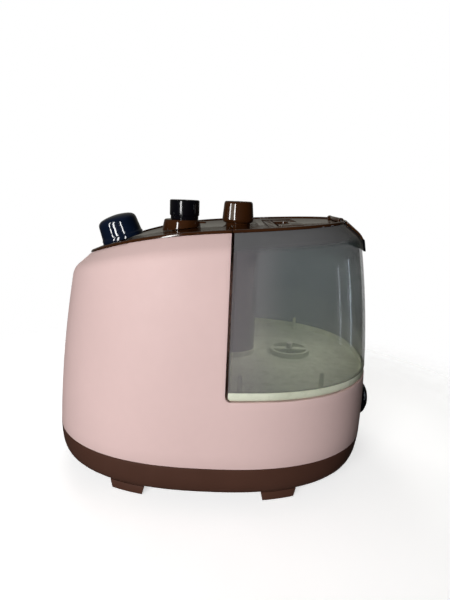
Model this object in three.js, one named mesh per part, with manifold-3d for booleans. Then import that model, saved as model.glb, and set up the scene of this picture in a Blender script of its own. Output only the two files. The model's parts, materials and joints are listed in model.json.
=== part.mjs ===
// A table-top cool mist humidifier: an oval pink housing on a brown base, a smoky water tank that
// lifts out of the rear, a glossy brown top with a dial and two swivelling mist nozzles, and the
// ultrasonic works inside. Millimetres, +Z up, +X towards the tank. The origin is on the floor, under
// the middle of the whole object.
import * as THREE from "three";
import { mergeVertices } from "three/addons/utils/BufferGeometryUtils.js";
import Module from "manifold-3d";

const wasm = await Module();
wasm.setup();

// ---------------------------------------------------------------- driving dimensions

const BODY_LENGTH = 312; // at the joint between base and housing
const BODY_WIDTH = 247;
const OVAL_POWER = 2.4; // 2 is an ellipse, more is squarer
const CAP_PROUD = 12; // how far the drain cap stands out behind the body
const BODY_X = -CAP_PROUD / 2; // the oval's centre, so that the object's box is centred on the origin
const OVAL_STEPS = 48;

const FOOT_HEIGHT = 9;
const JOINT_Z = 36; // base pan below, pink housing above
const SHELF_Z = 96.5; // housing below, tank above
const SEAM_X = 8; // housing in front, tank behind
const WALL = 2.8;
const TANK_WALL = 2.5;
const GAP = 0.3; // between pieces that touch

const WALL_RISE = 200; // the height over which the two tapers below are stated
const FRONT_TAPER = [9.5, 17.3]; // length lost at the front: linear and squared share
const REAR_TAPER = [-4.4, 22.9];

const RIM_INSET = 13; // the top's edge lies this far inside the wall
const SHOULDER = 13; // height of the sloping band under the top's edge
const RIM_Z = 232; // height of the top's edge where the nose begins to drop
const NOSE_X = 10;
const TOP_SLOPE = 0.078; // the top rises towards the rear
const NOSE_DROP = 20.9;
const NOSE_LENGTH = 141.5;
const NOSE_POWER = 2.65;

const BORDER = 3.2; // width of the raised border round the top
const BORDER_TOP = 2.6;
const DISH = 0.8; // height of the top's inner face over the housing's edge
const PLUG = 2.4; // how far the top reaches down inside that edge

const NOZZLE_X = -40; // front nozzle and the transducer under it
const POST_X = 13.8; // rear nozzle, in the half-round column
const COLUMN_R = 19;
const NOZZLE_TOP = 255.2;

const DIAL_X = -101.4;
const DIAL_TILT = THREE.MathUtils.degToRad(-19.5);

const VALVE_X = 75;
const BASIN = { front: -66, rear: 112, half: 58, floor: 39.5, top: 92.4, wall: 2.5 };
const BLOWER = { x: -104, r: 30, bottom: 62, top: 88 };
const DRAIN_Z = 52;
const HANDLE = { pivotX: 70, gripX: 42, half: 50.5, rise: -1.7, knuckle: 1.8, thick: 3 };
const TRAY_DEPTH = 3.9; // the recess that the folded handle lies in, below the housing's edge
const FLAP = { hingeX: 111, half: 36, barrel: 2.2 };

// ---------------------------------------------------------------- materials

const finish = (color, roughness, metalness = 0, extra = {}) =>
  new THREE.MeshStandardMaterial({ color, roughness, metalness, ...extra });

const pinkShell = finish(0xe6cac4, 0.38);
const brownBase = finish(0x503629, 0.5);
const brownGloss = finish(0x3a1c0c, 0.1);
const blackGloss = finish(0x0b0d10, 0.12);
const navyGloss = finish(0x0c1624, 0.1);
const smokyClear = finish(0x6e7674, 0.15, 0, { transparent: true, opacity: 0.55 });
const paleTank = finish(0xd8dcc8, 0.35);
const whitePlastic = finish(0xe9e7e0, 0.5);
const blackPlastic = finish(0x16181a, 0.45);
const rubber = finish(0x1f1f20, 0.85);
const steel = finish(0xb9bcc0, 0.3, 1);
const aluminium = finish(0xb4b7ba, 0.4, 1);
const brass = finish(0xc79a4b, 0.3, 1);
const boardGreen = finish(0x1e5a34, 0.6);
const copper = finish(0x9c5a2c, 0.45, 0.6);
const foam = finish(0x4a4d50, 0.95);
const ceramic = finish(0xd9d2bd, 0.45);

// ---------------------------------------------------------------- solids from three.js geometry

function solid(geometry) {
  const bare = geometry.index ? geometry.toNonIndexed() : geometry.clone();
  bare.deleteAttribute("normal");
  bare.deleteAttribute("uv");
  const merged = mergeVertices(bare, 1e-4);
  const mesh = { numProp: 3, vertProperties: merged.attributes.position.array };
  return new wasm.Manifold(new wasm.Mesh({ ...mesh, triVerts: new Uint32Array(merged.index.array) }));
}

function geometryOf(manifold) {
  const { vertProperties, triVerts } = manifold.getMesh();
  const geometry = new THREE.BufferGeometry();
  geometry.setAttribute("position", new THREE.BufferAttribute(vertProperties, 3));
  geometry.setIndex(new THREE.BufferAttribute(triVerts, 1));
  geometry.computeVertexNormals();
  return geometry;
}

function box([x0, x1], [y0, y1], [z0, z1]) {
  const geometry = new THREE.BoxGeometry(x1 - x0, y1 - y0, z1 - z0);
  return solid(geometry.translate((x0 + x1) / 2, (y0 + y1) / 2, (z0 + z1) / 2));
}

// An upright cylinder or cone.
function rod(x, y, [z0, z1], bottomR, topR = bottomR, steps = 24) {
  const geometry = new THREE.CylinderGeometry(topR, bottomR, z1 - z0, steps).rotateX(Math.PI / 2);
  return solid(geometry.translate(x, y, (z0 + z1) / 2));
}

// An upright tube.
function tube(x, y, z, outerR, innerR, steps = 24) {
  const [z0, z1] = z;
  return rod(x, y, z, outerR, outerR, steps).subtract(rod(x, y, [z0 - 1, z1 + 1], innerR, innerR, steps));
}

// A turned piece: its profile of [radius, height] points is turned about Z.
function turned(profile, steps = 32) {
  const points = profile.map(([r, h]) => new THREE.Vector2(r, h));
  return solid(new THREE.LatheGeometry(points, steps).rotateX(Math.PI / 2));
}

// A turned piece laid along X, its profile's heights running towards +X.
const turnedAlongX = (profile, x, y, z, steps) =>
  turned(profile, steps).rotate([0, 90, 0]).translate([x, y, z]);

// A rod along Y.
const crossRod = (x, z, [y0, y1], r, steps = 16) =>
  rod(0, 0, [-y1, -y0], r, r, steps).rotate([90, 0, 0]).translate([x, 0, z]);

const union = (first, ...others) => others.reduce((all, one) => all.add(one), first);

// Rings of points, one above the other and each mirrored about the XZ plane, closed into one solid.
function loft(rings) {
  const count = rings[0].length;
  const position = rings.flat().flatMap((p) => p.toArray());
  const index = [];
  const quad = (a, b, c, d) => index.push(a, b, c, a, c, d);
  for (let level = 0; level + 1 < rings.length; level++) {
    for (let i = 0; i < count; i++) {
      const low = level * count;
      const next = (i + 1) % count;
      quad(low + i, low + next, low + count + next, low + count + i);
    }
  }
  const mirror = (i) => (count - i) % count;
  const cap = (base, facesUp) => {
    for (let i = 0; i < count / 2; i++) {
      const corners = [i, i + 1, mirror(i + 1), mirror(i)];
      const kept = corners.filter((c, k) => corners.indexOf(c) === k).map((c) => base + c);
      if (!facesUp) kept.reverse();
      index.push(kept[0], kept[1], kept[2]);
      if (kept.length === 4) index.push(kept[0], kept[2], kept[3]);
    }
  };
  cap(0, false);
  cap((rings.length - 1) * count, true);
  const geometry = new THREE.BufferGeometry();
  geometry.setAttribute("position", new THREE.Float32BufferAttribute(position, 3));
  geometry.setIndex(index);
  return solid(geometry);
}

// ---------------------------------------------------------------- the oval body

const taperedLength = (z, [linear, squared]) => {
  const rise = (z - JOINT_Z) / WALL_RISE;
  return BODY_LENGTH / 2 - linear * rise - squared * rise * rise;
};
const frontLength = (z) => taperedLength(z, FRONT_TAPER);
const rearLength = (z) => taperedLength(z, REAR_TAPER);
const halfWidth = (z) => (BODY_WIDTH / 2) * ((frontLength(z) + rearLength(z)) / BODY_LENGTH);

const rounded = (v) => Math.sign(v) * Math.abs(v) ** (2 / OVAL_POWER);

function ovalPoint(angle, z, inset) {
  const along = rounded(Math.cos(angle));
  const length = along < 0 ? frontLength(z) : rearLength(z);
  return [BODY_X + (length - inset) * along, (halfWidth(z) - inset) * rounded(Math.sin(angle))];
}

// The height of the housing's top edge, level across the body and curved along it.
function rimHeight(x) {
  const ahead = Math.max(0, NOSE_X - x) / NOSE_LENGTH;
  return RIM_Z + TOP_SLOPE * (x - NOSE_X) - NOSE_DROP * ahead ** NOSE_POWER;
}

// The height of the crease where the upright wall turns into the sloping shoulder.
const creaseHeight = (x) => rimHeight(BODY_X + 0.9 * (x - BODY_X)) - SHOULDER;

// One oval ring, inset from the wall, whose height may vary along the body.
function ring(inset, heightAt) {
  return Array.from({ length: OVAL_STEPS }, (_, i) => {
    const angle = (2 * Math.PI * i) / OVAL_STEPS;
    let z = SHELF_Z;
    for (let pass = 0; pass < 6; pass++) z = heightAt(ovalPoint(angle, z, inset)[0]);
    const [x, y] = ovalPoint(angle, z, inset);
    return new THREE.Vector3(x, i % (OVAL_STEPS / 2) ? y : 0, z);
  });
}

const level = (z) => () => z;
const ovalSlab = (inset, z0, z1) => loft([ring(inset, level(z0)), ring(inset, level(z1))]);

// A slab that follows the arched top, between two heights over the housing's edge.
const topSlab = (inset, low, high) =>
  loft([ring(inset, (x) => rimHeight(x) + low), ring(inset, (x) => rimHeight(x) + high)]);

// The body's outer form, drawn in by a depth square to its walls, from a level up to the top's edge.
// With raise, the top opening is carried on upwards by that much.
function envelope(depth, bottom, raise = 0) {
  const between = (share) => (x) => THREE.MathUtils.lerp(bottom, creaseHeight(x) - 0.43 * depth, share);
  const rimAt = RIM_INSET + 0.68 * depth;
  const rings = [0, 0.35, 0.7, 1].map((share) => ring(depth, between(share)));
  rings.push(ring(rimAt, (x) => rimHeight(x) - 0.73 * depth));
  if (raise) rings.push(ring(rimAt, (x) => rimHeight(x) + raise));
  return loft(rings);
}

const FAR = 400;
const aheadOf = (x) => box([-FAR, x], [-FAR, FAR], [-FAR, FAR]);
const behind = (x) => box([x, FAR], [-FAR, FAR], [-FAR, FAR]);
const above = (z) => box([-FAR, FAR], [-FAR, FAR], [z, FAR]);
const columnRod = (r) => rod(POST_X, 0, [-10, 300], r, r, 32);

const housingSide = aheadOf(SEAM_X).add(columnRod(COLUMN_R));
const tankSide = behind(SEAM_X + 0.7).subtract(columnRod(COLUMN_R + 1));

// ---------------------------------------------------------------- the scene graph

const humidifier = new THREE.Group();

function part(name, shape, material, group = humidifier) {
  const mesh = new THREE.Mesh(shape.isBufferGeometry ? shape : geometryOf(shape), material);
  mesh.name = name;
  group.add(mesh);
}

// ---------------------------------------------------------------- base pan, feet and screws

const SCREW_ANGLES = [0.75, Math.PI - 0.75, Math.PI + 0.75, 2 * Math.PI - 0.75];
const screwPlaces = SCREW_ANGLES.map((angle) => ovalPoint(angle, JOINT_Z, 16));
const screwRoots = SCREW_ANGLES.map((angle) => ovalPoint(angle, JOINT_Z, 7)); // boss to wall
const SCREW_HOLE_R = 2.4;
const POST_R = 6;

const FOOT_TOP_LENGTH = 32;
const FOOT_BOTTOM_LENGTH = 28;
const FOOT_STEM_R = 3;
const footPlaces = [
  [-76, 1],
  [-76, -1],
  [59, 1],
  [59, -1],
];
const footStemY = 90;

const slot = (x, y, length, width) =>
  box([x - length / 2, x + length / 2], [y - width / 2, y + width / 2], [0, 20]);

function basePan() {
  const outside = loft([
    ring(9, level(FOOT_HEIGHT)),
    ring(5.6, level(10.4)),
    ring(3.2, level(14)),
    ring(1.5, level(20)),
    ring(0, level(JOINT_Z)),
  ]);
  const inside = loft([ring(12, level(12)), ring(6.4, level(16)), ring(3, level(JOINT_Z + 1))]);
  let pan = outside.subtract(inside);
  for (const [x, y] of [...screwPlaces, ...screwRoots]) {
    pan = pan.add(rod(x, y, [11, JOINT_Z], POST_R, POST_R, 12).intersect(outside));
  }
  for (const [x, y] of screwPlaces) {
    pan = pan.subtract(rod(x, y, [0, 40], SCREW_HOLE_R, SCREW_HOLE_R, 12));
    pan = pan.subtract(rod(x, y, [0, 12], 4.6, 4.6, 12));
  }
  for (const [x, side] of footPlaces) {
    pan = pan.subtract(rod(x, side * footStemY, [0, 20], FOOT_STEM_R + GAP, FOOT_STEM_R + GAP, 12));
  }
  for (let y = -16; y <= 16; y += 8) pan = pan.subtract(slot(BLOWER.x, y, 36, 3.4));
  for (const x of [-50, 22, 60, 104]) {
    for (const y of [-32, 32]) pan = pan.add(rod(x, y, [11, 19.6], 3, 3, 8));
  }
  return pan.subtract(box([120, 170], [33.7, 56.3], [15.7, 30.3]));
}

function foot(x, side) {
  const block = ovalSlab(6.2, 0, FOOT_HEIGHT - GAP).subtract(ovalSlab(26, -1, FOOT_HEIGHT));
  const outline = new THREE.Shape([
    new THREE.Vector2(-FOOT_BOTTOM_LENGTH / 2, 0),
    new THREE.Vector2(FOOT_BOTTOM_LENGTH / 2, 0),
    new THREE.Vector2(FOOT_TOP_LENGTH / 2, FOOT_HEIGHT - GAP),
    new THREE.Vector2(-FOOT_TOP_LENGTH / 2, FOOT_HEIGHT - GAP),
  ]);
  const wedge = new THREE.ExtrudeGeometry(outline, { depth: 60, bevelEnabled: false });
  wedge.rotateX(Math.PI / 2).translate(x, side > 0 ? 130 : -70, 0);
  const stem = rod(x, side * footStemY, [FOOT_HEIGHT - 1, 13], FOOT_STEM_R, FOOT_STEM_R, 12);
  return block.intersect(solid(wedge)).add(stem);
}

part("base_pan", basePan(), brownBase);
footPlaces.forEach(([x, side], i) => part(`foot_${i + 1}`, foot(x, side), brownBase));
screwPlaces.forEach(([x, y], i) => {
  const screw = rod(x, y, [9.4, 11.8], 4, 4, 16).add(rod(x, y, [11, 56], 2, 2, 12));
  const crossSlot = box([x - 2.5, x + 2.5], [y - 0.5, y + 0.5], [9, 10.4]);
  part(`base_screw_${i + 1}`, screw.subtract(crossSlot), steel);
});

// ---------------------------------------------------------------- housing: shell and tank cradle

const SPOUT_HOLE_R = 9;

function bodyShell() {
  const bottom = JOINT_Z + GAP;
  const outside = envelope(0, bottom);
  const inside = envelope(WALL, bottom - 2, 8);
  let shell = outside.subtract(inside);
  for (const [x, y] of [...screwPlaces, ...screwRoots]) {
    shell = shell.add(rod(x, y, [bottom, 60], POST_R, POST_R, 12).intersect(outside));
  }
  for (const [x, y] of screwPlaces) {
    shell = shell.subtract(rod(x, y, [bottom - 1, 57], SCREW_HOLE_R, SCREW_HOLE_R, 12));
  }
  const bay = behind(SEAM_X).intersect(above(SHELF_Z));
  const holeSide = [[0, 0], [SPOUT_HOLE_R, 0], [SPOUT_HOLE_R, 60], [0, 60]];
  const spoutHole = turnedAlongX(holeSide, 120, 0, DRAIN_Z, 24);
  return shell.subtract(bay).subtract(spoutHole);
}

function tankCradle() {
  const fit = WALL + 3 * GAP;
  const shelf = ovalSlab(fit, SHELF_Z - 3.5, SHELF_Z - 0.5).intersect(behind(SEAM_X - 3));
  const bulkhead = envelope(fit, SHELF_Z - 3.5).intersect(box([SEAM_X - 3, SEAM_X], [-FAR, FAR], [0, FAR]));
  const column = rod(POST_X, 0, [SHELF_Z - 3.5, 240], COLUMN_R, COLUMN_R, 32).intersect(behind(SEAM_X - 3));
  return union(shelf, bulkhead, column)
    .subtract(rod(POST_X, 0, [SHELF_Z - 0.5, 300], COLUMN_R - 2.5, COLUMN_R - 2.5, 32))
    .subtract(rod(POST_X, 0, [80, 300], 13, 13))
    .subtract(rod(VALVE_X, 0, [80, 110], 27.5))
    .subtract(topSlab(0, -PLUG - GAP, 32));
}

part("body_shell", bodyShell(), pinkShell);
part("tank_cradle", tankCradle(), pinkShell);

// ---------------------------------------------------------------- top panel with its raised border

const dialFrame = new THREE.Group();
dialFrame.position.set(DIAL_X, 0, rimHeight(DIAL_X) + DISH);
dialFrame.rotation.y = DIAL_TILT;
humidifier.add(dialFrame);
const alongDial = (shape) =>
  shape.rotate([0, THREE.MathUtils.radToDeg(DIAL_TILT), 0]).translate(dialFrame.position.toArray());

const coverBorder = topSlab(RIM_INSET - 0.2, GAP, BORDER_TOP)
  .subtract(topSlab(RIM_INSET + BORDER, DISH, 10));
const coverPlug = topSlab(RIM_INSET + BORDER - 0.2, -PLUG, DISH);

function topPanel() {
  return coverBorder
    .add(coverPlug)
    .intersect(housingSide)
    .subtract(rod(NOZZLE_X, 0, [200, 260], 14.2, 14.2, 32))
    .subtract(rod(POST_X, 0, [200, 260], 12.8, 12.8, 32))
    .subtract(alongDial(rod(0, 0, [-20, 20], 4.7, 4.7, 24)));
}

part("top_panel", topPanel(), brownGloss);

// ---------------------------------------------------------------- dial, its shaft and its control

const KNOB_BOTTOM = 0.6;
const KNOB_TOP = 26.2;
const knobProfile = [
  [0, 14],
  [3.3, 14],
  [3.3, KNOB_BOTTOM],
  [21, KNOB_BOTTOM],
  [21, 4.6],
  [20.4, 5.4],
  [19.4, 18.8],
  [17.9, 22],
  [14.4, 24.1],
  [8.2, 25.6],
  [0, KNOB_TOP],
];
part("dial_knob", turned(knobProfile, 40), navyGloss, dialFrame);
part("dial_shaft", rod(0, 0, [-8, 13.7], 3, 3, 16), steel, dialFrame);
const controlProfile = [
  [0, -17],
  [8.5, -17],
  [8.5, -5.2],
  [4.3, -5.2],
  [4.3, -0.6],
  [3.3, -0.6],
  [3.3, -8.4],
  [0, -8.4],
];
part("dial_control", turned(controlProfile, 24), blackPlastic, dialFrame);

// ---------------------------------------------------------------- mist nozzles and the chimneys under them

// A round spout with a closed top, cut open over the half that faces the rear.
function spout(x, outerProfile, boreR, bottom, top) {
  const outline = [[0, bottom], ...outerProfile, [0, top]];
  const bore = rod(x, 0, [bottom - 1, top - 2.2], boreR, boreR, 32);
  const mouth = rod(x, 0, [top - 5, top + 1], boreR, boreR, 32).intersect(behind(x - 2));
  return turned(outline, 32).translate([x, 0, 0]).subtract(bore).subtract(mouth);
}

const NECK_R = 12.75;
const COLLAR_TOP = 236;
const COLLAR_X = NOZZLE_X - 2.4; // the collar is a little off the nozzle's axis
const LUG_Z = 234.4;

function nozzleCollar() {
  const profile = [
    [0, 218],
    [19.4, 218],
    [19.4, 227],
    [17.8, 235],
    [17.2, COLLAR_TOP],
    [0, COLLAR_TOP],
  ];
  const lug = box([NOZZLE_X + 12, NOZZLE_X + 21.8], [-4, 4], [LUG_Z - 1.4, LUG_Z + 0.4]);
  return turned(profile, 32)
    .translate([COLLAR_X, 0, 0])
    .add(lug)
    .subtract(rod(NOZZLE_X, 0, [200, 260], NECK_R + 0.6, NECK_R + 0.6, 32))
    .subtract(topSlab(0, -60, DISH + GAP));
}

function frontNozzle() {
  const profile = [
    [NECK_R, 216],
    [NECK_R, COLLAR_TOP + GAP],
    [13.9, COLLAR_TOP + GAP],
    [13.9, 239.8],
    [14.8, 240.3],
    [14.8, NOZZLE_TOP - 0.8],
    [14, NOZZLE_TOP],
  ];
  return spout(NOZZLE_X, profile, 10.8, 216, NOZZLE_TOP);
}

const POST_FOOT_Z = rimHeight(POST_X) + DISH + 2;

function rearNozzle() {
  const neckR = 12.2;
  const profile = [
    [neckR, 216],
    [neckR, POST_FOOT_Z],
    [14.2, POST_FOOT_Z],
    [15.7, POST_FOOT_Z + 2.6],
    [14.1, NOZZLE_TOP - 1],
    [12.6, NOZZLE_TOP + 0.6],
  ];
  return spout(POST_X, profile, 10.2, 216, NOZZLE_TOP + 0.6);
}

const CHIMNEY_BOTTOM = 95.6;
part("nozzle_collar", nozzleCollar(), brownGloss);
part("front_nozzle", frontNozzle(), blackGloss);
part("rear_nozzle", rearNozzle(), brownGloss);
part("front_chimney", tube(NOZZLE_X, 0, [CHIMNEY_BOTTOM, 220], 15.2, 13.4), whitePlastic);
part("rear_chimney", tube(POST_X, 0, [SHELF_Z + 0.2, 224], 15, 13), whitePlastic);

// ---------------------------------------------------------------- water tank

const TANK_BOTTOM_Z = SHELF_Z + 0.5;
const TANK_JOIN_Z = 104.7;
const PORT_HALF = 30;

function waterTank() {
  const outside = envelope(0, TANK_JOIN_Z + GAP)
    .intersect(behind(SEAM_X + 1))
    .subtract(columnRod(COLUMN_R + 1.5));
  const inside = envelope(TANK_WALL, TANK_JOIN_Z - 5, 8)
    .intersect(behind(SEAM_X + 1 + TANK_WALL))
    .subtract(columnRod(COLUMN_R + 1.5 + TANK_WALL));
  const port = box([117, 170], [-PORT_HALF, PORT_HALF], [229.6, 238]);
  return outside.subtract(inside).subtract(port);
}

const NECK_OUTER_R = 21;
const NECK_INNER_R = 18;

function tankBottom() {
  const outside = loft([
    ring(2.6, level(TANK_BOTTOM_Z)),
    ring(0.8, level(TANK_BOTTOM_Z + 1.8)),
    ring(0.2, level(TANK_JOIN_Z)),
  ]);
  const pan = outside.intersect(behind(SEAM_X + 1)).subtract(columnRod(COLUMN_R + 1.5));
  const inside = ovalSlab(3, TANK_BOTTOM_Z + 2.5, TANK_JOIN_Z + 5)
    .intersect(behind(SEAM_X + 4))
    .subtract(columnRod(COLUMN_R + 4.5));
  const neck = rod(VALVE_X, 0, [84, TANK_JOIN_Z], NECK_OUTER_R);
  const neckBore = rod(VALVE_X, 0, [80, 120], NECK_INNER_R);
  const bridge = box([VALVE_X - 19, VALVE_X + 19], [-4, 4], [101.5, TANK_JOIN_Z]);
  return pan
    .subtract(inside)
    .add(neck)
    .subtract(neckBore)
    .add(bridge)
    .subtract(rod(VALVE_X, 0, [80, 120], 3.4, 3.4, 16));
}

// ---------------------------------------------------------------- tank lid, pocket and ears

const handleZ = rimHeight(HANDLE.pivotX) + HANDLE.rise;
const flapZ = rimHeight(FLAP.hingeX) + 2.4;
const POCKET_DEPTH = 10;
const POCKET_HALF = 15;

function tankLid() {
  const rim = coverBorder.intersect(tankSide);
  const plug = coverPlug.intersect(behind(SEAM_X + 4.2)).subtract(columnRod(COLUMN_R + 4.4));
  const skin = topSlab(RIM_INSET + BORDER - 0.2, GAP, DISH).intersect(tankSide);
  const trayOutside = topSlab(20, -TRAY_DEPTH - 2, 0.4)
    .intersect(box([38.5, 75.5], [-56.5, 56.5], [0, FAR]));
  const island = box([51.5, 90], [-44.2, 44.2], [0, FAR]); // fills the folded handle's loop
  const trayInside = topSlab(20, -TRAY_DEPTH, 30)
    .intersect(box([40.5, 73.5], [-51, 51], [0, FAR]))
    .subtract(island);
  const pocketZ = rimHeight(52) - POCKET_DEPTH;
  const pocketOutside = box([46, 66], [-17, 17], [pocketZ - 2, rimHeight(50) - 3]);
  const pocketInside = box([48, 64], [-POCKET_HALF, POCKET_HALF], [pocketZ, 260]);
  const flapEars = [-1, 1].map((side) => {
    const y = side > 0 ? [22.4, 27] : [-27, -22.4];
    const foot = box([FLAP.hingeX - 2.4, FLAP.hingeX + 2.4], y, [flapZ - 2, flapZ]);
    return crossRod(FLAP.hingeX, flapZ, y, 2.4, 20).add(foot);
  });
  const flapRoom = topSlab(0, 0.15, 30).intersect(box([FLAP.hingeX + 0.8, 200], [-36.6, 36.6], [0, FAR]));
  const barrelRoom = box([FLAP.hingeX - 2.9, FLAP.hingeX + 3.2], [-22.3, 22.3], [flapZ - 2.9, 260]);
  return union(rim, plug, skin, trayOutside, pocketOutside)
    .subtract(trayInside)
    .subtract(pocketInside)
    .subtract(flapRoom)
    .subtract(barrelRoom)
    .add(union(...flapEars))
    .subtract(crossRod(HANDLE.pivotX, handleZ, [-60, 60], 1.15))
    .subtract(crossRod(FLAP.hingeX, flapZ, [-30, 30], 1.4));
}

part("water_tank", waterTank(), smokyClear);
part("tank_bottom", tankBottom(), paleTank);
part("tank_lid", tankLid(), brownGloss);

// ---------------------------------------------------------------- carrying handle, folded flat on the lid

function tankHandle() {
  const { pivotX, gripX, half, thick } = HANDLE;
  const arms = [-1, 1].map((side) => {
    const y = side > 0 ? [half - 5, half] : [-half, 5 - half];
    return box([gripX, pivotX], y, [-thick / 2, thick / 2]);
  });
  const grip = box([gripX, gripX + 8], [-half, half], [-thick / 2, thick / 2]);
  const knuckles = [-1, 1].map((side) => {
    const y = side > 0 ? [half - 5, half] : [-half, 5 - half];
    return crossRod(pivotX, 0, y, HANDLE.knuckle, 20);
  });
  const level = union(grip, ...arms, ...knuckles).subtract(crossRod(pivotX, 0, [-60, 60], 1.15));
  const slope = THREE.MathUtils.radToDeg(Math.atan(TOP_SLOPE));
  return level.translate([-pivotX, 0, 0]).rotate([0, -slope, 0]).translate([pivotX, 0, handleZ]);
}

part("tank_handle", tankHandle(), brownGloss);
part("handle_pin_left", crossRod(HANDLE.pivotX, handleZ, [-54.3, -45.2], 0.85), steel);
part("handle_pin_right", crossRod(HANDLE.pivotX, handleZ, [45.2, 54.3], 0.85), steel);

// ---------------------------------------------------------------- fill flap and its thumb tab

const FLAP_INNER = 1;
const FLAP_OUTER = 2.5;
const shoulderBand = envelope(-FLAP_OUTER, 190).subtract(envelope(-FLAP_INNER, 180));

function fillFlap() {
  const { hingeX, half, barrel } = FLAP;
  const reach = box([hingeX + 2.8, 170], [-half, half], [226, 260]);
  const plate = shoulderBand.intersect(reach);
  const knuckle = crossRod(hingeX, flapZ, [-22, 22], barrel, 20);
  const web = box([hingeX, hingeX + 4], [-22, 22], [flapZ - 1.6, flapZ - 0.2]);
  return union(plate, knuckle, web).subtract(crossRod(hingeX, flapZ, [-30, 30], 1.4));
}

const tabBand = envelope(-3.3, 190).subtract(envelope(-1, 180));
part("fill_flap", fillFlap(), brownGloss);
part("flap_tab", tabBand.intersect(box([110, 170], [-30, 30], [214.4, 225.6])), blackGloss);
part("flap_pin", crossRod(FLAP.hingeX, flapZ, [-26.6, 26.6], 1.1), steel);

// ---------------------------------------------------------------- tank valve

const VALVE_FLOOR = 79;
const PIN_TOP = 72;
const PLUNGER_BOTTOM = PIN_TOP + GAP;

function valveCap() {
  const wall = tube(VALVE_X, 0, [VALVE_FLOOR, SHELF_Z], 25, NECK_OUTER_R + 0.4, 32);
  const floor = rod(VALVE_X, 0, [VALVE_FLOOR, VALVE_FLOOR + 3], 25, 25, 32);
  return wall.add(floor).subtract(rod(VALVE_X, 0, [70, 90], 8, 8, 24));
}

function valvePlunger() {
  const stem = rod(VALVE_X, 0, [PLUNGER_BOTTOM, 110], 3, 3, 16);
  const disc = rod(VALVE_X, 0, [88.6, 91], 12, 12, 24);
  return stem.add(disc);
}

// A coil of round wire standing on Z.
class Helix extends THREE.Curve {
  constructor(radius, bottom, top, turns) {
    super();
    Object.assign(this, { radius, bottom, top, turns });
  }

  getPoint(t, target = new THREE.Vector3()) {
    const angle = 2 * Math.PI * this.turns * t;
    const z = THREE.MathUtils.lerp(this.bottom, this.top, t);
    return target.set(this.radius * Math.cos(angle), this.radius * Math.sin(angle), z);
  }
}

function wireAlong(curve, wireR, steps, sides) {
  const section = new THREE.Shape();
  section.absarc(0, 0, wireR, 0, 2 * Math.PI);
  return new THREE.ExtrudeGeometry(section, { steps, extrudePath: curve, curveSegments: sides / 2 });
}

part("valve_cap", valveCap(), whitePlastic);
part("valve_plunger", valvePlunger(), whitePlastic);
part("valve_seal", tube(VALVE_X, 0, [85.6, 88.3], 11, 3.3, 24), rubber);
part("valve_spring", wireAlong(new Helix(6, 92.2, 100.3, 4), 0.6, 44, 6).translate(VALVE_X, 0, 0), steel);

// ---------------------------------------------------------------- water basin and what makes the mist

const FLOAT_X = 38;
const FLOAT_Y = -36;
const DRAIN_SPOUT_R = 8;
const DRAIN_BORE_R = 6;
const PORT = { y: [8, 26], z: [68, 82] };

function waterBasin() {
  const { front, rear, half, floor, top, wall } = BASIN;
  const innerFloor = floor + wall;
  const outside = box([front, rear], [-half, half], [floor, top]);
  const inside = box([front + wall, rear - wall], [wall - half, half - wall], [innerFloor, top + 5]);
  const bar = (r, x0, x1) => turnedAlongX([[0, 0], [r, 0], [r, x1 - x0], [0, x1 - x0]], x0, 0, DRAIN_Z, 24);
  const valvePin = rod(VALVE_X, 0, [floor + 1, PIN_TOP], 4, 3, 16);
  const floatPost = rod(FLOAT_X, FLOAT_Y, [floor + 1, 76], 2.5, 2.5, 16);
  return outside
    .subtract(inside)
    .add(union(valvePin, floatPost, bar(DRAIN_SPOUT_R, rear - 1, 148)))
    .subtract(bar(DRAIN_BORE_R - 1, rear - 6, 150))
    .subtract(bar(DRAIN_BORE_R, 125, 150))
    .subtract(rod(NOZZLE_X, 0, [30, 60], 9))
    .subtract(box([front - 5, front + 5], PORT.y, PORT.z));
}

function chamberCover() {
  const halfWide = BASIN.half + 3;
  const plate = box([BASIN.front - 3, SEAM_X - 3.4], [-halfWide, halfWide], [BASIN.top + GAP, 95.2]);
  const collar = tube(NOZZLE_X, 0, [94, 104], 17.2, 15.6);
  return plate.add(collar).subtract(rod(NOZZLE_X, 0, [90, 110], 13));
}

part("water_basin", waterBasin(), whitePlastic);
part("chamber_cover", chamberCover(), whitePlastic);
part("water_float", tube(FLOAT_X, FLOAT_Y, [42.6, 54.6], 12, 3.2, 28), whitePlastic);
part("transducer_disc", rod(NOZZLE_X, 0, [36.4, 37.6], 10), ceramic);
part("transducer_gasket", tube(NOZZLE_X, 0, [37.9, 39.2], 14, 8.5), rubber);
part("transducer_ring", tube(NOZZLE_X, 0, [34, 36.1], 15, 8), brass);

// ---------------------------------------------------------------- circuit boards

const BOARD_Z = 20;
const BOARD_TOP = BOARD_Z + 1.6;

function driverBoard() {
  const plate = box([-56, 28], [-38, 38], [BOARD_Z, BOARD_TOP]);
  const parts = [-28, -10, 16].map((y) => rod(-48, y, [BOARD_TOP - 0.2, BOARD_TOP + 9], 4, 4, 16));
  const chip = box([-12, 2], [12, 22], [BOARD_TOP - 0.2, BOARD_TOP + 2.2]);
  const coil = tube(-14, -20, [BOARD_TOP - 0.2, BOARD_TOP + 7], 8, 3.5, 20);
  return union(plate, chip, coil, ...parts);
}

function heatSink() {
  let sink = box([8, 26], [-20, 20], [BOARD_TOP + GAP, BOARD_TOP + 3]);
  const finZ = [BOARD_TOP + 2, BOARD_TOP + 13];
  for (let x = 8; x < 26; x += 4) sink = sink.add(box([x, x + 1.4], [-20, 20], finZ));
  return sink;
}

function powerBoard() {
  const plate = box([54, 110], [-38, 38], [BOARD_Z, BOARD_TOP]);
  const capacitors = [-24, -10].map((y) => rod(62, y, [BOARD_TOP - 0.2, BOARD_TOP + 12], 5, 5, 20));
  const fuse = box([56, 60], [6, 26], [BOARD_TOP - 0.2, BOARD_TOP + 5]);
  return union(plate, fuse, ...capacitors);
}

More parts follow.
